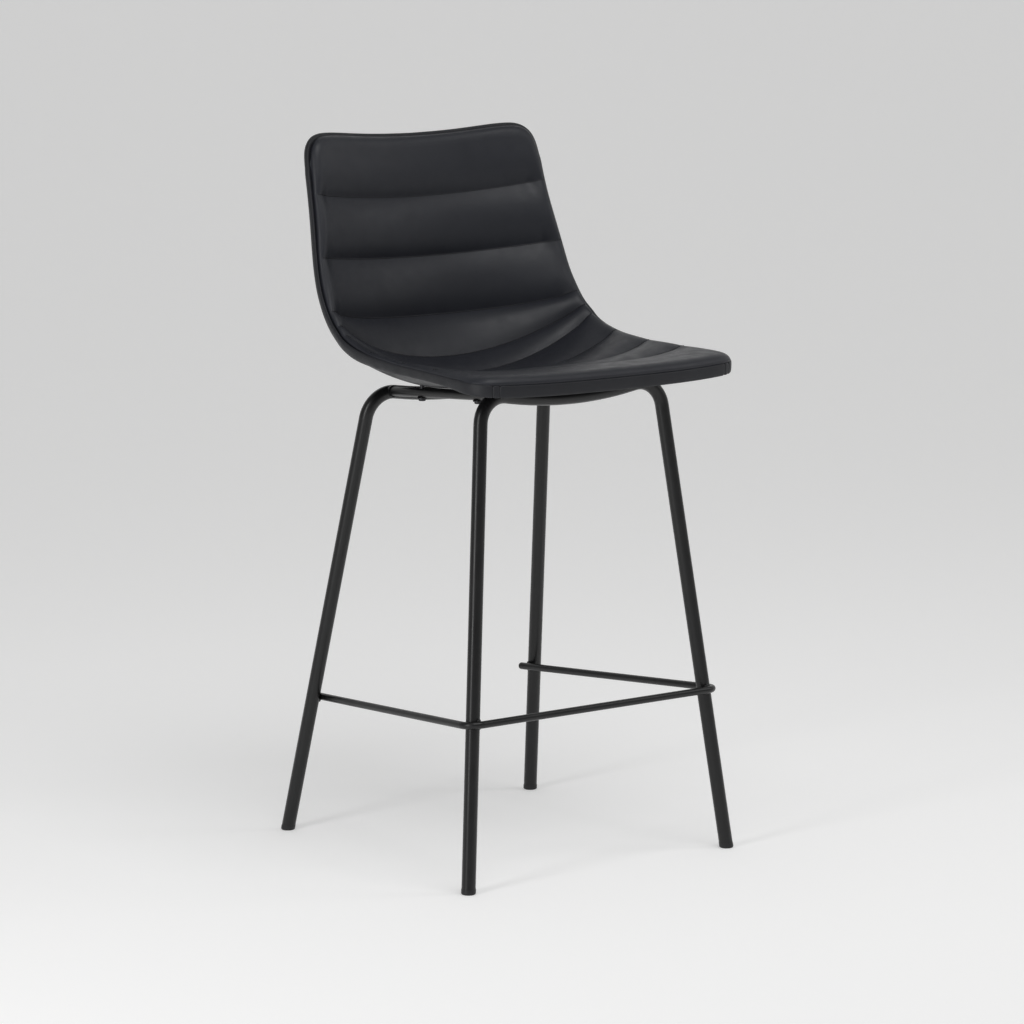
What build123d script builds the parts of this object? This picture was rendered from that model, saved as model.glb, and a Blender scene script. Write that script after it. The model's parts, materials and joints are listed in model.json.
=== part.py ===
from build123d import *
import math
import os

os.makedirs("parts", exist_ok=True)

# ---------------------------------------------------------------- dimensions
# All lengths in millimetres.  +Z up, the stool faces -Y, +X is its right-hand
# side as seen by someone standing in front of it looking along +Y (mirror
# symmetric).  Origin: on the floor, at the middle of the overall box.
y_origin = 15.4          # shift that brings the middle of the overall depth to y = 0

tube_r = 9.5             # leg tube, 19 mm outside diameter
tube_wall = 1.5
rail_r = 6.5             # side rail, 13 mm outside diameter
rail_wall = 1.5
rod_r = 5.0              # footrest rod, 10 mm solid

glide_tip = 7.0          # visible height of the plastic glide under each tube end
glide_r = 9.9
glide_plug_r = 7.7
glide_plug_len = 20.0

# front leg frame: one bent tube lying in one plane that leans back
ff_foot_x, ff_foot_y = 219.7, -223.3       # leg axis on the floor
ff_top_x, ff_top_y, ff_top_z = 157.5, -163.5, 570.0
ff_run_z = 639.3                           # axis of the cross run at mid span
ff_run_rise = 9.0                          # the run rises this much at its ends
ff_run_half = 105.0
ff_bend = 38.0

# rear leg frame
rf_foot_x, rf_foot_y = 212.0, 223.3
rf_top_x, rf_top_y, rf_top_z = 154.3, 115.0, 570.0
rf_run_z = 617.6
rf_run_rise = 8.0
rf_run_half = 105.0
rf_bend = 38.0

# side rails under the seat, one each side, front run to rear run
rail_x = 117.0
rail_front_z = 649.2
rail_rear_z = 627.6

# footrest rod
rest_front_z = 224.0
rest_rear_z = 192.8
rest_corner_r = 19.0
rest_tail = 14.0          # length of rod that stands past the rear leg axis

# seat: layers measured from the seam level between cover and border band
pad_h = 12.0              # foam and cover above the seam level
cover_t = 1.3
fold_y, fold_z = 160.0, 700.0   # joint between the seat and back foam blocks
fold_dy, fold_dz = 0.5, 0.866   # direction across that joint, seat to back
pad_clear = 0.10           # clearance between the pad and the shell
band_t = 3.2              # leather and wrap around the edge
back_cover_t = 1.2
back_foam_t = 2.2

bolt_y = (26.0, -104.0)   # seat bolts on each rail
bolt_r = 3.0
bolt_head_r = 5.0
bolt_head_h = 3.2
washer_r = 7.0
washer_t = 1.4

# Seat form.  Each row is one cross-section of the dished shell:
# centre (y, z), rim (y, z), half width, curve power, thickness below the
# seam level in the middle and at the rim.
stations = [
    (-292.0, 677.8, -292.0, 680.6, 219.6, 3.0, 16.5, 16.5),
    (-262.0, 677.8, -262.0, 681.4, 219.4, 3.0, 16.5, 16.5),
    (-240.0, 677.0, -240.0, 682.6, 219.0, 3.0, 14.6, 16.2),
    (-212.0, 675.4, -212.0, 683.9, 218.6, 3.1, 11.0, 15.6),
    (-172.0, 671.8, -172.0, 685.2, 218.0, 3.4, 10.0, 12.5),
    (-132.0, 666.6, -131.0, 686.6, 217.0, 3.5, 10.0, 11.8),
    (-96.0, 661.4, -94.0, 687.4, 215.8, 3.4, 10.0, 11.4),
    (-60.0, 655.6, -57.0, 688.6, 215.2, 3.2, 10.0, 11.4),
    (-22.0, 649.2, -18.0, 691.0, 215.0, 2.9, 10.0, 11.6),
    (14.0, 643.6, 18.0, 694.9, 214.6, 2.6, 10.0, 12.0),
    (48.0, 640.0, 50.0, 701.4, 214.4, 2.4, 10.0, 13.2),
    (80.0, 640.2, 72.0, 709.4, 214.2, 2.25, 10.0, 13.0),
    (108.0, 646.6, 82.0, 715.8, 213.8, 2.15, 10.0, 13.0),
    (132.0, 660.6, 92.0, 723.2, 213.4, 2.1, 10.0, 13.0),
    (152.0, 679.6, 101.0, 731.2, 213.1, 2.05, 10.0, 13.0),
    (167.0, 700.6, 110.0, 741.6, 212.8, 2.0, 10.0, 13.0),
    (178.6, 726.0, 118.6, 753.8, 212.2, 2.0, 10.0, 13.0),
    (186.4, 756.0, 129.6, 772.4, 210.6, 2.0, 10.0, 13.0),
    (193.0, 796.0, 142.8, 806.4, 207.4, 2.0, 10.0, 13.0),
    (199.6, 842.0, 156.8, 850.2, 201.8, 2.0, 10.0, 13.0),
    (205.8, 888.0, 171.0, 895.6, 196.6, 2.0, 10.0, 13.0),
    (210.8, 926.0, 181.4, 932.6, 194.0, 2.0, 10.6, 13.0),
    (214.4, 954.0, 189.4, 960.8, 192.2, 2.0, 12.6, 13.0),
    (219.6, 996.0, 200.6, 1002.8, 190.0, 2.0, 13.0, 13.0),
]

# plan outline of the front edge, right half, centre outwards
front_edge = [(0.0, -263.6), (60.0, -262.6), (120.0, -259.4), (165.0, -254.4),
              (188.0, -250.2), (202.0, -244.0), (211.5, -234.0),
              (217.0, -221.0), (218.4, -208.0)]
# front-view outline of the top edge, right half, centre outwards (x, z)
top_edge = [(0.0, 966.2), (50.0, 967.4), (95.0, 970.2), (130.0, 973.2),
            (155.0, 974.4), (170.0, 973.0), (181.5, 967.2), (188.6, 957.2),
            (191.8, 944.4), (193.4, 930.4)]

pad_inset = band_t        # the pad starts inside the band
foam_inset = band_t + cover_t


# ------------------------------------------------------------------ helpers
def section_plane(row):
    """Plane of one seat cross-section: x across, y from centre to rim."""
    yc, zc, ye, ze = row[0], row[1], row[2], row[3]
    h = math.hypot(ye - yc, ze - zc)
    my, mz = (ye - yc) / h, (ze - zc) / h
    return Plane(origin=(0, yc + y_origin, zc), x_dir=(1, 0, 0),
                 z_dir=(0, -mz, my)), h


def layer(top, bottom, inset):
    """Cross-sections of one layer of the dished seat.  top and bottom give the
    level above the seam surface as functions of (row, u)."""
    sections = []
    for row in stations:
        plane, h = section_plane(row)
        w, p = row[4] - inset, row[5]
        us = [-1, -0.93, -0.8, -0.6, -0.35, 0, 0.35, 0.6, 0.8, 0.93, 1]
        up_pts = [(u * w, h * abs(u * w / row[4]) ** p + top(row, u)) for u in us]
        dn_pts = [(u * w, h * abs(u * w / row[4]) ** p + bottom(row, u)) for u in us]
        with BuildSketch(plane) as profile:
            with BuildLine():
                Spline(*up_pts)
                Line(up_pts[-1], dn_pts[-1])
                Spline(*reversed(dn_pts))
                Line(dn_pts[0], up_pts[0])
            make_face()
        sections.append(profile.sketch.faces()[0])
    return sections


def inward(points, d):
    """Offset an outline (centre outwards) towards the object by d."""
    out = []
    n = len(points)
    for i, (a, b) in enumerate(points):
        p0 = points[max(i - 1, 0)]
        p1 = points[min(i + 1, n - 1)]
        tx, ty = p1[0] - p0[0], p1[1] - p0[1]
        if i == 0:
            tx, ty = 1.0, 0.0
        s = math.hypot(tx, ty)
        nx, ny = -ty / s, tx / s
        if points is top_edge:
            nx, ny = -nx, -ny
        out.append((a + nx * d, b + ny * d))
    return out


def front_waste(inset):
    """Area to cut off at the front edge and its two rounded corners."""
    pts = inward(front_edge, inset)
    pts = [(x, y + y_origin) for x, y in pts]
    left = [(-x, y) for x, y in reversed(pts[1:])]
    with BuildSketch(Plane.XY.offset(600)) as waste:
        with BuildLine():
            Spline(*(left + pts))
            Polyline(pts[-1], (290, pts[-1][1]), (290, -420), (-290, -420),
                     (-290, pts[-1][1]), left[0])
        make_face()
    return waste.sketch


def top_waste(inset):
    """Area to cut off at the top edge and its two rounded corners."""
    pts = inward(top_edge, inset)
    left = [(-x, z) for x, z in reversed(pts[1:])]
    with BuildSketch(Plane.XZ.offset(-290)) as waste:
        with BuildLine():
            Spline(*(left + pts))
            Polyline(pts[-1], (260, pts[-1][1]), (260, 1080), (-260, 1080),
                     (-260, pts[-1][1]), left[0])
        make_face()
    return waste.sketch


def under(row, u, keep=0.0):
    """Level of the underside, thicker at the rim."""
    tc, te = row[6], row[7]
    return -(tc + (te - tc) * abs(u) ** 6) + keep


# ------------------------------------------------------------ front leg frame
def u_frame(foot_x, foot_y, top_x, top_y, top_z, run_z, rise, run_half, bend):
    """Bent tube: leg, bend, slightly sagging cross run, bend, leg."""
    lean = (top_y - foot_y) / top_z
    k = math.hypot(1.0, lean)
    plane = Plane(origin=(0, foot_y + y_origin, 0), x_dir=(1, 0, 0),
                  z_dir=(0, -1.0, lean))
    slope = (foot_x - top_x) / top_z
    end_z = run_z + rise
    grad = 2 * rise / run_half
    # where the end tangent of the run meets the leg axis
    cz = (end_z + grad * (foot_x - run_half)) / (1 + grad * slope)
    cx = foot_x - slope * cz
    s = plane.y_dir.Z

    def q(x, z):
        return (x, z / s)

    low = -12.0
    with BuildLine(plane) as path:
        left = Polyline(q(-(foot_x - slope * low), low), q(-cx, cz), q(-run_half, end_z))
        mid = ThreePointArc(q(-run_half, end_z), q(0, run_z), q(run_half, end_z))
        right = Polyline(q(run_half, end_z), q(cx, cz), q(foot_x - slope * low, low))
        corners = path.vertices().filter_by(lambda v: abs(abs(v.X) - cx) < 0.01)
        fillet(corners, bend)
    start = path.vertices().sort_by(Axis.X)[0]
    wire = path.wires()[0]
    return wire, plane


front_wire, front_plane = u_frame(ff_foot_x, ff_foot_y, ff_top_x, ff_top_y, ff_top_z,
                                  ff_run_z, ff_run_rise, ff_run_half, ff_bend)
with BuildPart() as front_leg_frame:
    with BuildSketch(Plane(origin=front_wire @ 0, z_dir=front_wire % 0)):
        Circle(tube_r)
        Circle(tube_r - tube_wall, mode=Mode.SUBTRACT)
    sweep(path=front_wire)
    split(bisect_by=Plane.XY.offset(glide_tip), keep=Keep.TOP)
front_leg_frame.part.label = "front_leg_frame"

rear_wire, rear_plane = u_frame(rf_foot_x, rf_foot_y, rf_top_x, rf_top_y, rf_top_z,
                                rf_run_z, rf_run_rise, rf_run_half, rf_bend)
with BuildPart() as rear_leg_frame:
    with BuildSketch(Plane(origin=rear_wire @ 0, z_dir=rear_wire % 0)):
        Circle(tube_r)
        Circle(tube_r - tube_wall, mode=Mode.SUBTRACT)
    sweep(path=rear_wire)
    split(bisect_by=Plane.XY.offset(glide_tip), keep=Keep.TOP)
rear_leg_frame.part.label = "rear_leg_frame"

# solid envelopes of the two bent tubes, used to cope the rails and the welds
with BuildPart() as front_core:
    with BuildSketch(Plane(origin=front_wire @ 0, z_dir=front_wire % 0)):
        Circle(tube_r)
    sweep(path=front_wire)
with BuildPart() as rear_core:
    with BuildSketch(Plane(origin=rear_wire @ 0, z_dir=rear_wire % 0)):
        Circle(tube_r)
    sweep(path=rear_wire)


def leg_point(which, z):
    """Axis point of the right-hand leg at height z."""
    if which == "front":
        t = z / ff_top_z
        return (ff_foot_x + (ff_top_x - ff_foot_x) * t,
                ff_foot_y + (ff_top_y - ff_foot_y) * t + y_origin, z)
    t = z / rf_top_z
    return (rf_foot_x + (rf_top_x - rf_foot_x) * t,
            rf_foot_y + (rf_top_y - rf_foot_y) * t + y_origin, z)


# ------------------------------------------------------------------ side rails
rail_front_y = leg_point("front", ff_run_z + 5)[1]
rail_rear_y = leg_point("rear", rf_run_z + 4)[1]
rail_a = Vector(0, rail_front_y, rail_front_z)
rail_b = Vector(0, rail_rear_y, rail_rear_z)


def rail_axis_z(y):
    t = (y - rail_a.Y) / (rail_b.Y - rail_a.Y)
    return rail_a.Z + (rail_b.Z - rail_a.Z) * t


def rail_start(side):
    return Plane(origin=(side * rail_x, rail_a.Y, rail_a.Z), z_dir=rail_b - rail_a)


rail_len = (rail_b - rail_a).length
with BuildPart() as left_side_rail:
    with BuildSketch(rail_start(-1)):
        Circle(rail_r)
        Circle(rail_r - rail_wall, mode=Mode.SUBTRACT)
    extrude(amount=rail_len)
    add(front_core.part, mode=Mode.SUBTRACT)
    add(rear_core.part, mode=Mode.SUBTRACT)
    for by in bolt_y:
        with BuildSketch(Plane.XY.offset(rail_axis_z(by + y_origin) - 20)):
            with Locations((-rail_x, by + y_origin)):
                Circle(bolt_r + 0.3)
        extrude(amount=40, mode=Mode.SUBTRACT)
with BuildPart() as right_side_rail:
    add(mirror(left_side_rail.part, about=Plane.YZ, mode=Mode.PRIVATE))


def main_solid(part):
    return part.solids().sort_by(SortBy.VOLUME)[-1]


# ------------------------------------------------------------------- footrest
fx, fy, _ = leg_point("front", rest_front_z)
rx, ry, _ = leg_point("rear", rest_rear_z)
gap_f = tube_r + rod_r
front_y = fy - gap_f
side_x = fx + gap_f
tail_x = rx - gap_f
rest_slope = (rest_rear_z - rest_front_z) / (ry - front_y)
rest_plane = Plane(origin=(0, front_y, rest_front_z), x_dir=(1, 0, 0),
                   z_dir=(0, -rest_slope, 1))
rest_k = math.hypot(1.0, rest_slope)
tail_dx = (side_x - tail_x) / (ry - fy) * rest_tail
with BuildPart() as footrest_rod:
    with BuildLine(rest_plane) as rest_path:
        tail_v = (ry + rest_tail - front_y) * rest_k
        FilletPolyline((-(tail_x - tail_dx), tail_v), (-side_x - 0.8, 0), (side_x + 0.8, 0),
                       (tail_x - tail_dx, tail_v), radius=rest_corner_r)
    with BuildSketch(Plane(origin=rest_path.wires()[0] @ 0, z_dir=rest_path.wires()[0] % 0)):
        Circle(rod_r)
    sweep(path=rest_path.wires()[0])
    tails = footrest_rod.edges().filter_by(GeomType.CIRCLE).group_by(Axis.Y)[-1]
    fillet(tails, rod_r * 0.8)
    add(front_core.part, mode=Mode.SUBTRACT)
    add(rear_core.part, mode=Mode.SUBTRACT)
footrest_rod.part.label = "footrest_rod"

# weld beads: small lens-shaped runs in the corner between two tubes
weld_pts = []
for s in (-1, 1):
    lx, ly, lz = leg_point("front", rest_front_z)
    weld_pts.append((s * (lx - 2.5), ly - tube_r - 0.6, rest_front_z))
    lx, ly, lz = leg_point("rear", rest_rear_z)
    weld_pts.append((s * (lx - tube_r - 0.4), ly, rest_rear_z))
with BuildPart() as footrest_welds:
    for x, y, z in weld_pts:
        for dz in (-4.6, 4.6):
            with Locations((x, y, z + dz)):
                Sphere(2.9)
    add(front_core.part, mode=Mode.SUBTRACT)
    add(rear_core.part, mode=Mode.SUBTRACT)
    add(footrest_rod.part, mode=Mode.SUBTRACT)
footrest_welds.part.label = "footrest_welds"

with BuildPart() as rail_core:
    for s in (-1, 1):
        with BuildSketch(rail_start(s)):
            Circle(rail_r)
        extrude(amount=rail_len)
with BuildPart() as rail_welds:
    for s in (-1, 1):
        for end, y in ((1, rail_a.Y + tube_r), (-1, rail_b.Y - tube_r)):
            z = rail_axis_z(y)
            with BuildSketch(Plane(origin=(s * rail_x, y - 0.6 * end, z), z_dir=rail_b - rail_a)):
                Circle(rail_r + 1.7)
            extrude(amount=1.9, both=True)
    add(front_core.part, mode=Mode.SUBTRACT)
    add(rear_core.part, mode=Mode.SUBTRACT)
    add(rail_core.part, mode=Mode.SUBTRACT)

# --------------------------------------------------------------------- glides
def make_glide(which, side):
    x0, y0, _ = leg_point(which, 0.0)
    x1, y1, _ = leg_point(which, 40.0)
    x0, x1 = side * x0, side * x1
    axis = Vector(x1 - x0, y1 - y0, 40.0).normalized()
    at = lambda z: (x0 + axis.X / axis.Z * z, y0 + axis.Y / axis.Z * z, z)
    with BuildPart() as g:
        for z in (0.0, glide_tip):
            with BuildSketch(Plane(origin=at(z), z_dir=(0, 0, 1))):
                Circle(glide_r)
        loft()
        fillet(g.edges().group_by(Axis.Z)[0], 2.2)
        with BuildSketch(Plane(origin=at(glide_tip - 2), z_dir=axis)):
            Circle(glide_plug_r)
        extrude(amount=glide_plug_len)
    return g


front_left_glide = make_glide("front", -1)
front_right_glide = make_glide("front", 1)
rear_left_glide = make_glide("rear", -1)
rear_right_glide = make_glide("rear", 1)

# ----------------------------------------------------------------- seat layers
# rigid moulded shell with a thickened rim
with BuildPart() as seat_shell:
    loft(sections=layer(lambda r, u: 0.0,
          lambda r, u: under(r, u, back_cover_t + back_foam_t), foam_inset))
    extrude(front_waste(foam_inset), amount=140, mode=Mode.SUBTRACT)
    extrude(top_waste(foam_inset), amount=190, mode=Mode.SUBTRACT)
    for s in (-1, 1):
        for by in bolt_y:
            with BuildSketch(Plane.XY.offset(640)):
                with Locations((s * rail_x, by + y_origin)):
                    Circle(4.3)
            extrude(amount=60, mode=Mode.SUBTRACT)

# whole front pad, and the core that divides it into foam and cover
with BuildPart() as whole_pad:
    loft(sections=layer(lambda r, u: pad_h, lambda r, u: pad_clear, pad_inset))
    extrude(front_waste(pad_inset), amount=140, mode=Mode.SUBTRACT)
    extrude(top_waste(pad_inset), amount=190, mode=Mode.SUBTRACT)

with BuildPart() as pad_core:
    loft(sections=layer(lambda r, u: pad_h - cover_t, lambda r, u: -5.0, pad_inset - 2.0))

# front foam pad, in two blocks that meet under the deep fold
fold_plane = Plane(origin=(0, fold_y + y_origin, fold_z), x_dir=(1, 0, 0),
                   z_dir=(0, fold_dy, fold_dz))
with BuildPart() as seat_foam:
    add(whole_pad.part)
    add(pad_core.part, mode=Mode.INTERSECT)
    split(bisect_by=fold_plane, keep=Keep.BOTTOM)

with BuildPart() as back_rest_foam:
    add(whole_pad.part)
    add(pad_core.part, mode=Mode.INTERSECT)
    split(bisect_by=fold_plane, keep=Keep.TOP)

# quilted front cover: skin over the face of the pad
with BuildPart() as front_cover:
    add(whole_pad.part)
    add(pad_core.part, mode=Mode.SUBTRACT)

# thin foam under the back cover
with BuildPart() as back_foam:
    loft(sections=layer(lambda r, u: under(r, u, back_cover_t + back_foam_t),
          lambda r, u: under(r, u, back_cover_t), foam_inset))
    extrude(front_waste(foam_inset), amount=140, mode=Mode.SUBTRACT)
    extrude(top_waste(foam_inset), amount=190, mode=Mode.SUBTRACT)
    for s in (-1, 1):
        for by in bolt_y:
            with BuildSketch(Plane.XY.offset(620)):
                with Locations((s * rail_x, by + y_origin)):
                    Circle(bolt_r + 0.4)
            extrude(amount=70, mode=Mode.SUBTRACT)

# smooth back and underside cover
with BuildPart() as back_cover:
    loft(sections=layer(lambda r, u: under(r, u, back_cover_t),
          lambda r, u: under(r, u), foam_inset))
    extrude(front_waste(foam_inset), amount=140, mode=Mode.SUBTRACT)
    extrude(top_waste(foam_inset), amount=190, mode=Mode.SUBTRACT)
    for s in (-1, 1):
        for by in bolt_y:
            with BuildSketch(Plane.XY.offset(620)):
                with Locations((s * rail_x, by + y_origin)):
                    Circle(bolt_r + 0.4)
            extrude(amount=70, mode=Mode.SUBTRACT)

# border band: a closed strip around the whole edge
with BuildPart() as border_ring:
    loft(sections=layer(lambda r, u: 0.0, lambda r, u: under(r, u), 0.0))
    extrude(front_waste(0.0), amount=140, mode=Mode.SUBTRACT)
    extrude(top_waste(0.0), amount=190, mode=Mode.SUBTRACT)
with BuildPart() as border_hole:
    loft(sections=layer(lambda r, u: 6.0, lambda r, u: under(r, u) - 6.0, foam_inset))
    extrude(front_waste(foam_inset), amount=140, mode=Mode.SUBTRACT)
    extrude(top_waste(foam_inset), amount=190, mode=Mode.SUBTRACT)

corner_x = 191.0
corner_y = -236.0 + y_origin
with BuildPart() as front_border:
    add(border_ring.part)
    add(border_hole.part, mode=Mode.SUBTRACT)
    with BuildSketch(Plane.XY.offset(600)):
        with Locations((0, -260)):
            Rectangle(2 * corner_x, 200)
    extrude(amount=140, mode=Mode.INTERSECT)


def corner_patch(side):
    with BuildPart() as c:
        add(border_ring.part)
        add(border_hole.part, mode=Mode.SUBTRACT)
        with BuildSketch(Plane.XY.offset(600)):
            with Locations((side * (corner_x + 50), corner_y - 50)):
                Rectangle(100, 100)
        extrude(amount=140, mode=Mode.INTERSECT)
    return c


left_corner_patch = corner_patch(-1)
right_corner_patch = corner_patch(1)

with BuildPart() as side_border:
    add(border_ring.part)
    add(border_hole.part, mode=Mode.SUBTRACT)
    with BuildSketch(Plane.XY.offset(600)):
        with Locations((0, corner_y - 100)):
            Rectangle(600, 200)
    extrude(amount=140, mode=Mode.SUBTRACT)

# ------------------------------------------------------------------- fasteners
def under_z(x, y):
    """Height of the top of the shell's tee-nut flange at a bolt."""
    best = None
    for a, b in zip(stations, stations[1:]):
        if a[0] <= y - y_origin <= b[0]:
            t = (y - y_origin - a[0]) / (b[0] - a[0])
            za = a[1] + math.hypot(a[2] - a[0], a[3] - a[1]) * abs(x / a[4]) ** a[5]
            zb = b[1] + math.hypot(b[2] - b[0], b[3] - b[1]) * abs(x / b[4]) ** b[5]
            best = za + (zb - za) * t
            break
    return best


with BuildPart() as seat_bolts:
    for s in (-1, 1):
        for by in bolt_y:
            y = by + y_origin
            z0 = rail_axis_z(y) - rail_r - washer_t
            top = under_z(s * rail_x, y) - 1.5
            with BuildSketch(Plane.XY.offset(z0 - bolt_head_h)):
                with Locations((s * rail_x, y)):
                    Circle(bolt_head_r)
            extrude(amount=bolt_head_h)
            with BuildSketch(Plane.XY.offset(z0)):
                with Locations((s * rail_x, y)):
                    Circle(bolt_r)
            extrude(amount=top - z0)
    fillet(seat_bolts.faces().filter_by(Axis.Z).filter_by(
        lambda f: abs(f.area - math.pi * bolt_head_r ** 2) < 1).edges(), 1.2)
    for s in (-1, 1):
        for by in bolt_y:
            y = by + y_origin
            z0 = rail_axis_z(y) - rail_r - washer_t - bolt_head_h
            with BuildSketch(Plane.XY.offset(z0)):
                with Locations((s * rail_x, y)):
                    RegularPolygon(2.3, 6)
            extrude(amount=1.8, mode=Mode.SUBTRACT)

with BuildPart() as bolt_washers:
    for s in (-1, 1):
        for by in bolt_y:
            y = by + y_origin
            z0 = rail_axis_z(y) - rail_r - washer_t
            with BuildSketch(Plane.XY.offset(z0)):
                with Locations((s * rail_x, y)):
                    Circle(washer_r)
                    Circle(bolt_r + 0.2, mode=Mode.SUBTRACT)
            extrude(amount=washer_t)
    add(rail_core.part, mode=Mode.SUBTRACT)

with BuildPart() as tee_nuts:
    for s in (-1, 1):
        for by in bolt_y:
            y = by + y_origin
            z1 = under_z(s * rail_x, y) - 0.2
            with BuildSketch(Plane.XY.offset(z1 - 5.4)):
                with Locations((s * rail_x, y)):
                    Circle(4.2)
                    Circle(bolt_r + 0.05, mode=Mode.SUBTRACT)
            extrude(amount=5.4)

# --------------------------------------------------------------------- export
pieces = {
    "front_leg_frame": front_leg_frame, "rear_leg_frame": rear_leg_frame,
    "left_side_rail": left_side_rail, "right_side_rail": right_side_rail,
    "footrest_rod": footrest_rod, "footrest_welds": footrest_welds,
    "rail_welds": rail_welds,
    "front_left_glide": front_left_glide, "front_right_glide": front_right_glide,
    "rear_left_glide": rear_left_glide, "rear_right_glide": rear_right_glide,
    "seat_shell": seat_shell, "seat_foam": seat_foam,
    "back_rest_foam": back_rest_foam, "front_cover": front_cover,
    "back_foam": back_foam, "back_cover": back_cover,
    "side_border": side_border, "front_border": front_border,
    "left_corner_patch": left_corner_patch, "right_corner_patch": right_corner_patch,
    "seat_bolts": seat_bolts, "bolt_washers": bolt_washers, "tee_nuts": tee_nuts,
}
for name, piece in pieces.items():
    piece.part.label = name
    export_step(piece.part, "parts/" + name + ".step")
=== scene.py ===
import bpy
import json
import math
import numpy as np
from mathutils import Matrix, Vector

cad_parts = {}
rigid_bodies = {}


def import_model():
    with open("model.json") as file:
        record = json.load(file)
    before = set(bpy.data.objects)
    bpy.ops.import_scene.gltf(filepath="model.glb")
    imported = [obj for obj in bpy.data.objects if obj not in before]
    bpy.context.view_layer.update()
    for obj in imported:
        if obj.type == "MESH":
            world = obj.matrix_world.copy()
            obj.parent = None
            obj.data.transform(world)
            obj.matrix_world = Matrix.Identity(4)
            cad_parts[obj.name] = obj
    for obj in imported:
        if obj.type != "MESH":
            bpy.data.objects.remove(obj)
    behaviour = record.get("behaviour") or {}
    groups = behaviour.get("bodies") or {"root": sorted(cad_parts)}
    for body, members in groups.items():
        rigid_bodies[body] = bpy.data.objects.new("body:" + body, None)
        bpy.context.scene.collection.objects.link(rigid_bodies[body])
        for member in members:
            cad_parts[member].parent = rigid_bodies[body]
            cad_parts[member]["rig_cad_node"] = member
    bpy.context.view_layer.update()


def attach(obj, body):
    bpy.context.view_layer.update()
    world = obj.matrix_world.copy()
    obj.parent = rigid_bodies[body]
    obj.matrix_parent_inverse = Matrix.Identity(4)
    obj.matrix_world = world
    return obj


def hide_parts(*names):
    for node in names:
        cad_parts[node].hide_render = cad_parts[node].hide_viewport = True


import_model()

# ------------------------------------------------------------ seat form (mm)
Y0 = 15.4
ST = np.array([
    (-292.0, 677.8, -292.0, 680.6, 219.6, 3.0, 16.5, 16.5),
    (-262.0, 677.8, -262.0, 681.4, 219.4, 3.0, 16.5, 16.5),
    (-240.0, 677.0, -240.0, 682.6, 219.0, 3.0, 14.6, 16.2),
    (-212.0, 675.4, -212.0, 683.9, 218.6, 3.1, 11.0, 15.6),
    (-172.0, 671.8, -172.0, 685.2, 218.0, 3.4, 10.0, 12.5),
    (-132.0, 666.6, -131.0, 686.6, 217.0, 3.5, 10.0, 11.8),
    (-96.0, 661.4, -94.0, 687.4, 215.8, 3.4, 10.0, 11.4),
    (-60.0, 655.6, -57.0, 688.6, 215.2, 3.2, 10.0, 11.4),
    (-22.0, 649.2, -18.0, 691.0, 215.0, 2.9, 10.0, 11.6),
    (14.0, 643.6, 18.0, 694.9, 214.6, 2.6, 10.0, 12.0),
    (48.0, 640.0, 50.0, 701.4, 214.4, 2.4, 10.0, 13.2),
    (80.0, 640.2, 72.0, 709.4, 214.2, 2.25, 10.0, 13.0),
    (108.0, 646.6, 82.0, 715.8, 213.8, 2.15, 10.0, 13.0),
    (132.0, 660.6, 92.0, 723.2, 213.4, 2.1, 10.0, 13.0),
    (152.0, 679.6, 101.0, 731.2, 213.1, 2.05, 10.0, 13.0),
    (167.0, 700.6, 110.0, 741.6, 212.8, 2.0, 10.0, 13.0),
    (178.6, 726.0, 118.6, 753.8, 212.2, 2.0, 10.0, 13.0),
    (186.4, 756.0, 129.6, 772.4, 210.6, 2.0, 10.0, 13.0),
    (193.0, 796.0, 142.8, 806.4, 207.4, 2.0, 10.0, 13.0),
    (199.6, 842.0, 156.8, 850.2, 201.8, 2.0, 10.0, 13.0),
    (205.8, 888.0, 171.0, 895.6, 196.6, 2.0, 10.0, 13.0),
    (210.8, 926.0, 181.4, 932.6, 194.0, 2.0, 10.6, 13.0),
    (214.4, 954.0, 189.4, 960.8, 192.2, 2.0, 12.6, 13.0),
    (219.6, 996.0, 200.6, 1002.8, 190.0, 2.0, 13.0, 13.0)])
FRONT = np.array([(0.0, -263.6), (60.0, -262.6), (120.0, -259.4), (165.0, -254.4),
                  (188.0, -250.2), (202.0, -244.0), (211.5, -234.0),
                  (217.0, -221.0), (218.4, -208.0)])
TOP = np.array([(0.0, 966.2), (50.0, 967.4), (95.0, 970.2), (130.0, 973.2),
                (155.0, 974.4), (170.0, 973.0), (181.5, 967.2), (188.6, 957.2),
                (191.8, 944.4), (193.4, 930.4)])
TT = np.r_[0, np.cumsum(np.hypot(np.diff(ST[:, 0]), np.diff(ST[:, 1])))]


def second(x, y):
    n = len(x)
    h = np.diff(x)
    a = np.zeros((n, n))
    r = np.zeros(n)
    a[0, 0] = a[-1, -1] = 1
    for i in range(1, n - 1):
        a[i, i - 1], a[i, i], a[i, i + 1] = h[i - 1], 2 * (h[i - 1] + h[i]), h[i]
        r[i] = 6 * ((y[i + 1] - y[i]) / h[i] - (y[i] - y[i - 1]) / h[i - 1])
    return np.linalg.solve(a, r)


def spline(x, y, m, q):
    q = np.asarray(q, float)
    i = np.clip(np.searchsorted(x, q) - 1, 0, len(x) - 2)
    h = x[i + 1] - x[i]
    a, b = (x[i + 1] - q) / h, (q - x[i]) / h
    return a * y[i] + b * y[i + 1] + ((a**3 - a) * m[i] + (b**3 - b) * m[i + 1]) * h * h / 6


M2 = [second(TT, ST[:, k]) for k in range(8)]


def stat(s, k):
    return spline(TT, ST[:, k], M2[k], s)


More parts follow.
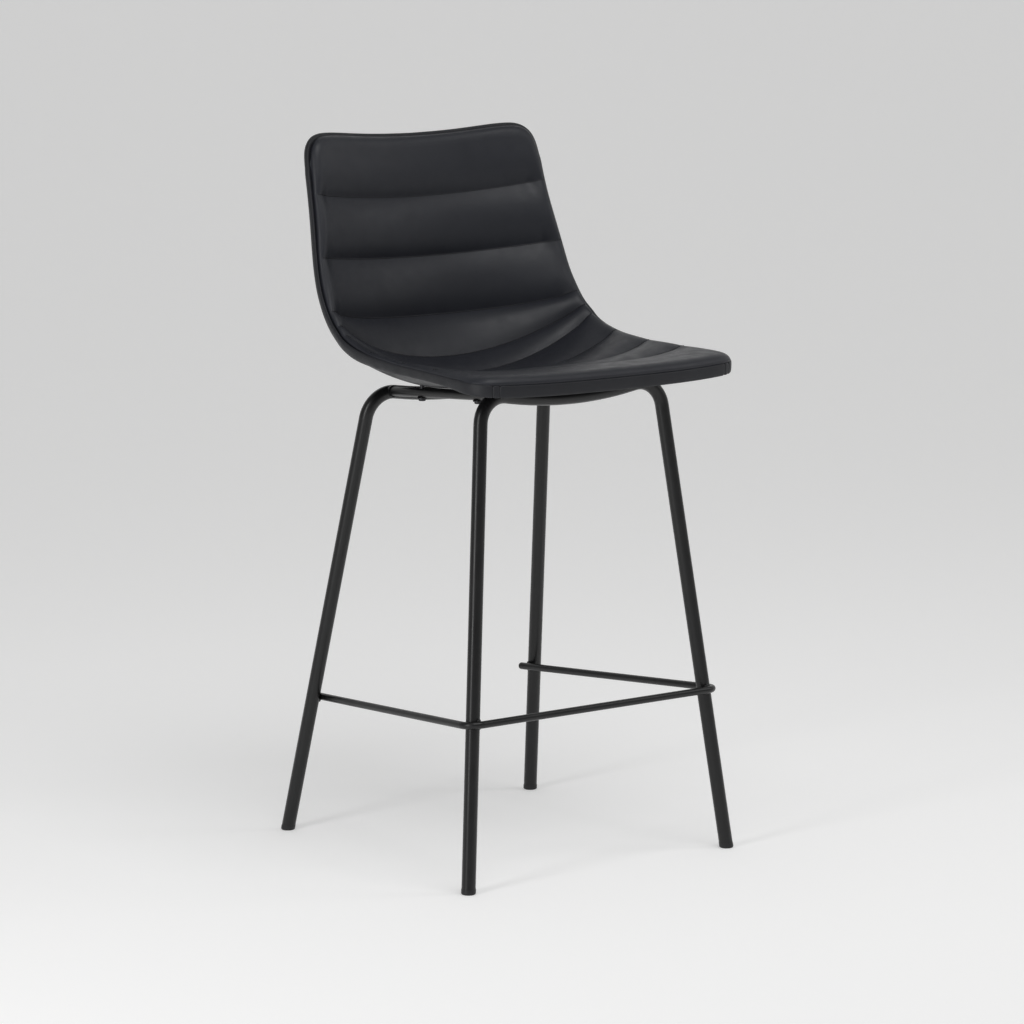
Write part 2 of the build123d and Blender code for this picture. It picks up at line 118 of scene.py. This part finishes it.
def surf(x, s, level):
    """Point of the seat: x across, s along the centre line, level above the seam."""
    x = np.asarray(x, float)
    yc, zc, ye, ze, w, p = [stat(s, k) for k in range(6)]
    h = np.hypot(ye - yc, ze - zc)
    my, mz = (ye - yc) / h, (ze - zc) / h
    g = h * np.abs(x / w) ** p + level
    return np.stack([x + 0 * g, yc + my * g + Y0, zc + mz * g], -1)


# ------------------------------------------------- outline of the seat in (x, s)
def dense(points, n):
    t = np.r_[0, np.cumsum(np.hypot(*np.diff(points, axis=0).T))]
    q = np.linspace(0, t[-1], n)
    return np.stack([spline(t, points[:, k], second(t, points[:, k]), q) for k in (0, 1)], -1)


def to_s(x, value, axis):
    ss = np.linspace(0, TT[-1], 3000)
    v = surf(np.full_like(ss, x), ss, 0)[:, axis]
    keep = ss < 200 if axis == 1 else ss > 500
    return np.interp(value, v[keep], ss[keep])


f = dense(FRONT, 70)
t = dense(TOP, 70)
edge_f = np.array([(x, to_s(x, y + Y0, 1)) for x, y in f])
edge_t = np.array([(x, to_s(x, z, 2)) for x, z in t])
s_side = np.linspace(edge_f[-1, 1], edge_t[-1, 1], 200)[1:-1]
side = np.stack([stat(s_side, 4), s_side], -1)
half = np.concatenate([edge_f, side, edge_t[::-1]])
loop = np.concatenate([half, (half * (-1, 1))[::-1][1:-1]])
seg = np.hypot(*(np.roll(loop, -1, 0) - loop).T)
arc = np.r_[0, np.cumsum(seg)]
total = arc[-1]
N_LOOP = 900
q = np.arange(N_LOOP) * total / N_LOOP
ring = np.stack([np.interp(q, arc, np.r_[loop[:, k], loop[0, k]]) for k in (0, 1)], -1)
for _ in range(2):
    ring = 0.5 * ring + 0.25 * (np.roll(ring, 1, 0) + np.roll(ring, -1, 0))


def tangent(r):
    d = np.roll(r, -1, 0) - np.roll(r, 1, 0)
    return d / np.linalg.norm(d, axis=1)[:, None]


tan = tangent(ring)
inwards = np.stack([-tan[:, 1], tan[:, 0]], -1)


def edge_distance(x, s):
    """Distance in the unrolled sheet to the outline."""
    best = np.full(x.shape, 1e9)
    for a, b in zip(ring, np.roll(ring, -1, 0)):
        ab = b - a
        k = np.clip(((x - a[0]) * ab[0] + (s - a[1]) * ab[1]) / (ab @ ab), 0, 1)
        best = np.minimum(best, (x - a[0] - k * ab[0]) ** 2 + (s - a[1] - k * ab[1]) ** 2)
    return np.sqrt(best)


# seams from the front edge to the top: middle s, rim s, crease level
SEAMS = [(160.5, 160.5, 6.2), (233.4, 233.4, 6.0), (308.5, 308.5, 5.8),
         (380.6, 380.6, 5.4), (431.0, 431.0, 4.8), (503.0, 484.5, 2.4),
         (587.0, 592.0, 3.2), (671.0, 679.0, 3.2)]
CROWN = [12.6, 12.4, 12.4, 12.2, 12.2, 12.8, 13.6, 13.8, 13.4]


def seam_s(k, u):
    c, r, _ = SEAMS[k]
    return c + (r - c) * np.abs(u) ** 2


def grid(columns, rows, inset):
    """Sheet of points fitted to the outline, with rows gathered at the seams."""
    j = np.linspace(-1, 1, columns)
    u = np.sin(j * math.pi / 2)
    u = 0.55 * u + 0.45 * j
    u[0], u[-1] = -1, 1
    au = np.abs(u)
    xf, sf = edge_f[:, 0], edge_f[:, 1]
    xt, st = edge_t[:, 0], edge_t[:, 1]
    low = np.interp(au * 218.4, xf, sf) + inset
    top = np.interp(au * 193.4, xt, st) - inset
    curves = [low] + [seam_s(k, u) for k in range(8)] + [top]
    s, tau, panel = [], [], []
    for k in range(9):
        v = np.linspace(0, 1, rows + 1)
        v = 0.5 - 0.5 * np.cos(v * math.pi)
        v = v if k == 8 else v[:-1]
        for a in v:
            s.append(curves[k] + a * (curves[k + 1] - curves[k]))
            tau.append(a)
            panel.append(k)
    s = np.array(s)
    x = u[None, :] * (stat(s, 4) - inset)
    return x, s, np.array(tau)[:, None] + 0 * s, np.array(panel)[:, None] + 0 * s, curves


def closed_sheet(name, x, s, outer, inner):
    """Closed solid between two levels of one sheet, sharing its rim."""
    nr, nc = x.shape
    top = surf(x, s, outer).reshape(-1, 3)
    low = surf(x, s, inner).reshape(-1, 3)
    idx = np.arange(nr * nc).reshape(nr, nc)
    rim = np.zeros((nr, nc), bool)
    rim[0], rim[-1], rim[:, 0], rim[:, -1] = True, True, True, True
    low_idx = np.where(rim, idx, 0)
    low_idx[~rim] = nr * nc + np.arange((~rim).sum())
    verts = np.concatenate([top, low[~rim.reshape(-1)]]) / 1000
    faces = []
    for i in range(nr - 1):
        for k in range(nc - 1):
            faces.append((idx[i, k], idx[i, k + 1], idx[i + 1, k + 1], idx[i + 1, k]))
            quad = (low_idx[i, k], low_idx[i + 1, k], low_idx[i + 1, k + 1], low_idx[i, k + 1])
            faces.append(quad)
    return make(name, verts, faces)


def make(name, verts, faces, smooth=True):
    mesh = bpy.data.meshes.new(name)
    mesh.from_pydata([tuple(map(float, v)) for v in verts], [],
                     [tuple(int(i) for i in f) for f in faces])
    mesh.update()
    mesh.polygons.foreach_set("use_smooth", [smooth] * len(mesh.polygons))
    ob = bpy.data.objects.new(name, mesh)
    bpy.context.scene.collection.objects.link(ob)
    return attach(ob, "root")


def smooth01(v):
    v = np.clip(v, 0, 1)
    return v * v * (3 - 2 * v)


# ---------------------------------------------------------------- materials
def new_material(name):
    m = bpy.data.materials.new(name)
    m.use_nodes = True
    nt = m.node_tree
    return m, nt, nt.nodes["Principled BSDF"]


def node(nt, kind, **values):
    n = nt.nodes.new(kind)
    for k, v in values.items():
        n.inputs[k].default_value = v
    return n


def ramp(nt, source, c0, c1, p0=0.3, p1=0.7):
    r = nt.nodes.new("ShaderNodeValToRGB")
    r.color_ramp.elements[0].position, r.color_ramp.elements[1].position = p0, p1
    r.color_ramp.elements[0].color = (*c0, 1)
    r.color_ramp.elements[1].color = (*c1, 1)
    nt.links.new(source, r.inputs["Fac"])
    return r.outputs["Color"]


def spread(nt, source, low, high):
    r = node(nt, "ShaderNodeMapRange", **{"From Min": 0.3, "From Max": 0.7, "To Min": low, "To Max": high})
    nt.links.new(source, r.inputs["Value"])
    return r.outputs["Result"]


def leather(name, dark, light, rough, grain):
    m, nt, p = new_material(name)
    co = nt.nodes.new("ShaderNodeTexCoord").outputs["Object"]
    cloud = node(nt, "ShaderNodeTexNoise", Scale=14.0, Detail=4.0, Roughness=0.55)
    cells = node(nt, "ShaderNodeTexVoronoi", Scale=820.0)
    cells.feature = "DISTANCE_TO_EDGE"
    fine = node(nt, "ShaderNodeTexNoise", Scale=1500.0, Detail=3.0)
    soft = node(nt, "ShaderNodeTexNoise", Scale=60.0, Detail=3.0)
    for n in (cloud, cells, fine, soft):
        nt.links.new(co, n.inputs["Vector"])
    nt.links.new(ramp(nt, cloud.outputs["Fac"], dark, light), p.inputs["Base Color"])
    nt.links.new(spread(nt, soft.outputs["Fac"], rough - 0.05, rough + 0.07), p.inputs["Roughness"])
    b0 = node(nt, "ShaderNodeBump", Strength=0.05, Distance=0.0006)
    b1 = node(nt, "ShaderNodeBump", Strength=grain, Distance=0.00018)
    b2 = node(nt, "ShaderNodeBump", Strength=grain * 0.6, Distance=0.00008)
    edge = node(nt, "ShaderNodeMapRange", **{"From Min": 0.0, "From Max": 0.22, "To Min": 0.0, "To Max": 1.0})
    nt.links.new(cells.outputs["Distance"], edge.inputs["Value"])
    nt.links.new(soft.outputs["Fac"], b0.inputs["Height"])
    nt.links.new(edge.outputs["Result"], b1.inputs["Height"])
    nt.links.new(fine.outputs["Fac"], b2.inputs["Height"])
    nt.links.new(b0.outputs["Normal"], b1.inputs["Normal"])
    nt.links.new(b1.outputs["Normal"], b2.inputs["Normal"])
    nt.links.new(b2.outputs["Normal"], p.inputs["Normal"])
    p.inputs["Specular IOR Level"].default_value = 0.38
    return m


def coated(name, dark, light, rough, scale, strength, metallic=0.0, coat=0.0):
    m, nt, p = new_material(name)
    co = nt.nodes.new("ShaderNodeTexCoord").outputs["Object"]
    peel = node(nt, "ShaderNodeTexNoise", Scale=scale, Detail=2.0)
    cloud = node(nt, "ShaderNodeTexNoise", Scale=35.0, Detail=4.0)
    for n in (peel, cloud):
        nt.links.new(co, n.inputs["Vector"])
    nt.links.new(ramp(nt, cloud.outputs["Fac"], dark, light), p.inputs["Base Color"])
    nt.links.new(spread(nt, cloud.outputs["Fac"], rough - 0.04, rough + 0.06), p.inputs["Roughness"])
    b = node(nt, "ShaderNodeBump", Strength=strength, Distance=0.00012)
    nt.links.new(peel.outputs["Fac"], b.inputs["Height"])
    nt.links.new(b.outputs["Normal"], p.inputs["Normal"])
    p.inputs["Metallic"].default_value = metallic
    p.inputs["Coat Weight"].default_value = coat
    p.inputs["Specular IOR Level"].default_value = 0.4
    return m


quilted = leather("quilted_leather", (0.0128, 0.0140, 0.0192), (0.0158, 0.0172, 0.0230), 0.41, 0.30)
plain = leather("plain_leather", (0.0086, 0.0092, 0.0122), (0.0115, 0.0122, 0.0158), 0.47, 0.35)
frame_mat = coated("powder_coat", (0.0036, 0.0036, 0.0038), (0.0058, 0.0058, 0.0062), 0.33, 900.0, 0.22, coat=0.08)
glide_mat = coated("glide_plastic", (0.010, 0.010, 0.011), (0.016, 0.016, 0.017), 0.48, 1400.0, 0.30)
shell_mat = coated("shell_plastic", (0.040, 0.040, 0.042), (0.055, 0.055, 0.056), 0.55, 900.0, 0.25)
foam_mat = coated("foam_core", (0.60, 0.58, 0.50), (0.72, 0.70, 0.62), 0.9, 700.0, 0.60)
zinc_mat = coated("dark_zinc", (0.035, 0.035, 0.038), (0.060, 0.060, 0.064), 0.40, 1200.0, 0.25, metallic=1.0)
thread_mat = coated("black_thread", (0.0030, 0.0030, 0.0036), (0.0055, 0.0055, 0.0062), 0.80, 2500.0, 0.60)

# ---------------------------------------------------------------- front pad
PAD_IN = 0.5
x, s, tau, panel, curves = grid(191, 16, PAD_IN)
d = np.maximum(edge_distance(x, s) - PAD_IN, 0)
d[0] = d[-1] = 0
d[:, 0] = d[:, -1] = 0
crease_lo = np.array([11.0] + [c[2] for c in SEAMS])[panel.astype(int)]
crease_hi = np.array([c[2] for c in SEAMS] + [11.0])[panel.astype(int)]
crown = np.array(CROWN)[panel.astype(int)]
near = np.where(tau < 0.5, crease_lo, crease_hi)
swell = 1 - np.abs(2 * tau - 1) ** 2.3
to_side = np.minimum(d, 60.0)
depth = 0.25 + 0.75 * smooth01((to_side - 3) / 24)
height = crown - (crown - near) * (1 - swell) * depth
seam_gap = np.minimum(tau, 1 - tau) * 80
fold = np.zeros_like(x)
for k, (amp, wave, phase, skew) in enumerate([(0.05, 31.0, 0.4, 0.10), (0.04, 19.0, 2.1, -0.16),
                                             (0.03, 12.7, 4.4, 0.21), (0.05, 47.0, 1.3, 0.33)]):
    fold += amp * np.sin(2 * math.pi * (x + skew * s) / wave + phase + 1.7 * panel)
height = height + fold * np.exp(-((seam_gap / 16) ** 2)) * smooth01(d / 20)
height = height + 0.10 * np.sin(x / 63.0 + panel) * np.sin(s / 41.0) * smooth01(d / 30)
R = 15.0
roll = np.sqrt(np.clip(1 - (1 - np.clip(d / R, 0, 1)) ** 2, 0, 1))
from_side = np.maximum(stat(s, 4) - np.abs(x), 0)
slow = np.sqrt(np.clip(1 - (1 - np.clip(from_side / 60.0, 0, 1)) ** 2, 0, 1))
on_seat = 1 - smooth01((s - 270) / 110)
BASE = -0.4
roll = roll * (1 - 0.62 * (1 - slow) * on_seat)
outer = BASE + (height - BASE) * roll
inner = np.full_like(outer, BASE)
pad = closed_sheet("front_cover_quilt", x, s, outer, inner)
pad.data.materials.append(quilted)
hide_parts("front_cover", "seat_foam", "back_rest_foam")
pad_x, pad_s, pad_h = x, s, outer


# ------------------------------------------------------------------ stitches
def capsule(a, b, normal, radius, sides=6):
    a, b = np.asarray(a), np.asarray(b)
    axis = (b - a) / np.linalg.norm(b - a)
    n = normal - axis * (normal @ axis)
    n /= np.linalg.norm(n)
    c = np.cross(axis, n)
    length = np.linalg.norm(b - a)
    stops = [(0.0, 0.0), (0.12, 0.75), (0.3, 1.0), (0.7, 1.0), (0.88, 0.75), (1.0, 0.0)]
    verts, rings = [], []
    for f, r in stops:
        mid = a + axis * length * f
        if r == 0:
            rings.append([len(verts)])
            verts.append(mid)
            continue
        row = []
        for i in range(sides):
            w = 2 * math.pi * i / sides
            row.append(len(verts))
            verts.append(mid + radius * r * (math.cos(w) * n + math.sin(w) * c))
        rings.append(row)
    faces = []
    for i in range(sides):
        k = (i + 1) % sides
        faces.append((rings[0][0], rings[1][k], rings[1][i]))
        faces.append((rings[-1][0], rings[-2][i], rings[-2][k]))
        for m in range(1, len(rings) - 2):
            faces.append((rings[m][i], rings[m][k], rings[m + 1][k], rings[m + 1][i]))
    return verts, faces


def add_many(name, parts, material):
    verts, faces = [], []
    for v, fcs in parts:
        base = len(verts)
        verts.extend(v)
        faces.extend(tuple(i + base for i in fc) for fc in fcs)
    ob = make(name, np.array(verts) / 1000, faces)
    ob.data.materials.append(material)
    return ob


rows_at = [16 * k for k in range(1, 9)]
parts = []
for k, row in enumerate(rows_at):
    off = -1
    P = surf(pad_x[row + off], pad_s[row + off], pad_h[row + off])
    ahead = surf(pad_x[row + off], pad_s[row + off] + 1, pad_h[row + off])
    run = np.r_[0, np.cumsum(np.linalg.norm(np.diff(P, axis=0), axis=1))]
    lift = np.cross(np.gradient(P, axis=0), ahead - P)
    lift /= np.linalg.norm(lift, axis=1)[:, None]
    at = np.arange(8.0, run[-1] - 8.0, 3.3)

    def along(v, q):
        return np.stack([np.interp(q, run, v[:, i]) for i in range(3)], -1)

    A, B, L = along(P, at), along(P, at + 2.3), along(lift, at)
    for a, b, n in zip(A, B, L):
        parts.append(capsule(a + n * 0.3, b + n * 0.3, n, 0.62))
add_many("channel_stitches", parts, thread_mat)

# ---------------------------------------------------------------- back cover
BACK_IN = 2.2
x, s, tau, panel, _ = grid(121, 12, BACK_IN)
d = np.maximum(edge_distance(x, s) - BACK_IN, 0)
d[0] = d[-1] = 0
d[:, 0] = d[:, -1] = 0
tc, te = stat(s, 6), stat(s, 7)
under = tc + (te - tc) * np.clip(np.abs(x / stat(s, 4)), 0, 1) ** 6
easing = np.sqrt(np.clip(1 - (1 - np.clip(d / 5.0, 0, 1)) ** 2, 0, 1))
ripple = 0.12 * np.sin(x / 27.0 + s / 52.0) * np.sin(s / 33.0) * smooth01(d / 25)
outer = -(under - 2.6 + 2.6 * easing) - ripple
inner = -(under - 2.6)
back = closed_sheet("back_cover_skin", x, s, inner, outer)
back.data.materials.append(plain)
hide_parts("back_cover", "back_foam")


# --------------------------------------------------------------- border band
def strip(name, first, last, nodes, swell=0.7):
    """Closed strip of leather round the edge between two stations of the ring."""
    pick = np.arange(first, last + 1)
    n = len(pick)
    r, inw = ring[pick % N_LOOP], inwards[pick % N_LOOP]
    te_ = stat(r[:, 1], 7)
    profile = []
    for a in np.linspace(0, 2 * math.pi, 28, endpoint=False):
        cx, cy = math.cos(a), math.sin(a)
        profile.append((np.sign(cx) * abs(cx) ** 0.42, np.sign(cy) * abs(cy) ** 0.42))
    ends = np.minimum(np.arange(n), np.arange(n)[::-1]) * (total / N_LOOP)
    taper = 0.72 + 0.28 * np.sqrt(np.clip(1 - (1 - np.clip(ends / 1.1, 0, 1)) ** 2, 0, 1))
    rings = []
    for i in range(n):
        up = float(smooth01((r[i, 1] - 640) / 90))
        rise = float(smooth01((r[i, 1] - 220) / 110))
        bend = math.exp(-((r[i, 1] - 405) / 60) ** 2)
        sag = 1.8 * math.exp(-((r[i, 1] - 330) / 90) ** 2)
        high, low = -0.3, -te_[i] - 0.3 - sag
        mid, reach = (high + low) / 2, (high - low) / 2
        k = max(taper[i], 0.02)
        row = []
        for px, py in profile:
            out = (swell + 2.4 * rise + 1.4 * up + 1.8 * bend) * (1 - (py - 0.25) ** 2 / 1.6) if px < 0 else 0.0
            inset = 1.7 + 1.9 * px * (1 if px > 0 else 0.8 + 0.2 * k) - out * k
            row.append(surf(r[i, 0] + inw[i, 0] * inset, r[i, 1] + inw[i, 1] * inset,
                            mid + reach * py * (0.55 + 0.45 * k)))
        rings.append(np.array(row))
    m = len(profile)
    verts = np.concatenate(rings)
    faces = []
    for i in range(n - 1):
        for k in range(m):
            a, b = i * m + k, i * m + (k + 1) % m
            faces.append((a, b, b + m, a + m))
    faces.append(tuple(range(m))[::-1])
    faces.append(tuple((n - 1) * m + k for k in range(m)))
    ob = make(name, verts / 1000, faces)
    ob.data.materials.append(plain)
    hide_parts(*nodes)
    return ob


def station_at(px, py):
    """Ring station whose plan position is nearest a point (mm)."""
    P = surf(ring[:, 0], ring[:, 1], 0)
    low = ring[:, 1] < 300
    dist = np.hypot(P[:, 0] - px, P[:, 1] - py) + np.where(low, 0, 1e6)
    return int(np.argmin(dist))


r_in, r_out = station_at(188.5, -250.1 + Y0), station_at(197.5, -246.4 + Y0)
l_in, l_out = (N_LOOP - r_in) % N_LOOP, (N_LOOP - r_out) % N_LOOP
strip("front_border_band", l_in - N_LOOP, r_in, ["front_border"])
strip("right_corner_panel", r_in, r_out, ["right_corner_patch"])
strip("side_border_band", r_out, l_out, ["side_border"])
strip("left_corner_panel", l_out, l_in, ["left_corner_patch"])

# ------------------------------------------------------------- CAD materials
finish_of = {
    "front_leg_frame": frame_mat, "rear_leg_frame": frame_mat, "left_side_rail": frame_mat,
    "right_side_rail": frame_mat, "footrest_rod": frame_mat, "footrest_welds": frame_mat,
    "rail_welds": frame_mat, "front_left_glide": glide_mat, "front_right_glide": glide_mat,
    "rear_left_glide": glide_mat, "rear_right_glide": glide_mat, "seat_shell": shell_mat,
    "seat_foam": foam_mat, "back_rest_foam": foam_mat, "back_foam": foam_mat, "seat_bolts": zinc_mat,
    "bolt_washers": zinc_mat, "tee_nuts": zinc_mat,
}
for ob in bpy.context.scene.objects:
    name = ob.get("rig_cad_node")
    if name in finish_of:
        if not ob.material_slots:
            ob.data.materials.append(finish_of[name])
        for sl in ob.material_slots:
            sl.material = finish_of[name]

# --------------------------------------------------------- studio and camera
prof = [(-9.0, 0.0)] + [(4.0 + 3.0 * math.sin(a), 3.0 - 3.0 * math.cos(a))
                        for a in np.linspace(0, math.pi / 2, 24)] + [(7.0, 9.0)]
ca, sa = math.cos(math.radians(-36.24)), math.sin(math.radians(-36.24))
verts, faces = [], []
for py, pz in prof:
    for px in (-12.0, 12.0):
        verts.append((px * ca - py * sa, px * sa + py * ca, pz))
for i in range(len(prof) - 1):
    faces.append((2 * i, 2 * i + 1, 2 * i + 3, 2 * i + 2))
mesh = bpy.data.meshes.new("backdrop")
mesh.from_pydata(verts, [], faces)
mesh.polygons.foreach_set("use_smooth", [True] * len(mesh.polygons))
backdrop = bpy.data.objects.new("backdrop", mesh)
bpy.context.scene.collection.objects.link(backdrop)
m, nt, p = new_material("backdrop_paper")
p.inputs["Base Color"].default_value = (0.80, 0.80, 0.80, 1)
p.inputs["Roughness"].default_value = 0.95
p.inputs["Specular IOR Level"].default_value = 0.0
p.inputs["Emission Color"].default_value = (1.0, 1.0, 0.995, 1)
p.inputs["Emission Strength"].default_value = 0.275
backdrop.data.materials.append(m)

scene = bpy.context.scene
world = bpy.data.worlds.new("studio")
world.use_nodes = True
world.node_tree.nodes["Background"].inputs["Color"].default_value = (1.0, 1.0, 1.0, 1)
world.node_tree.nodes["Background"].inputs["Strength"].default_value = 0.31
scene.world = world
scene.view_settings.view_transform = "Standard"
scene.view_settings.look = "None"
scene.view_settings.exposure = 0.0
scene.view_settings.gamma = 1.0


def area(name, at, to, size, power):
    data = bpy.data.lights.new(name, "AREA")
    data.shape = "RECTANGLE"
    data.size, data.size_y = size
    data.energy = power
    ob = bpy.data.objects.new(name, data)
    scene.collection.objects.link(ob)
    ob.location = at
    ob.rotation_euler = (Vector(to) - Vector(at)).to_track_quat("-Z", "Y").to_euler()


area("softbox_left", (-2.7, -0.6, 1.2), (0.0, 0.0, 0.65), (0.6, 2.0), 22.0)
area("softbox_right", (2.2, -1.5, 2.0), (0.0, 0.0, 0.6), (0.9, 1.8), 9.0)
area("softbox_top", (-0.2, -1.3, 3.0), (0.0, 0.0, 0.6), (2.0, 1.4), 27.0)

cam = bpy.data.cameras.new("camera")
cam.lens = 153.88
cam.sensor_width = 36.0
cam.clip_start, cam.clip_end = 0.1, 60.0
cam_ob = bpy.data.objects.new("camera", cam)
scene.collection.objects.link(cam_ob)
eye, aim = Vector((-3.5047, -4.7879, 1.4572)), Vector((0.01545, 0.0154, 0.4601))
cam_ob.location = eye
cam_ob.rotation_euler = (aim - eye).to_track_quat("-Z", "Y").to_euler()
scene.camera = cam_ob

bpy.context.view_layer.update()
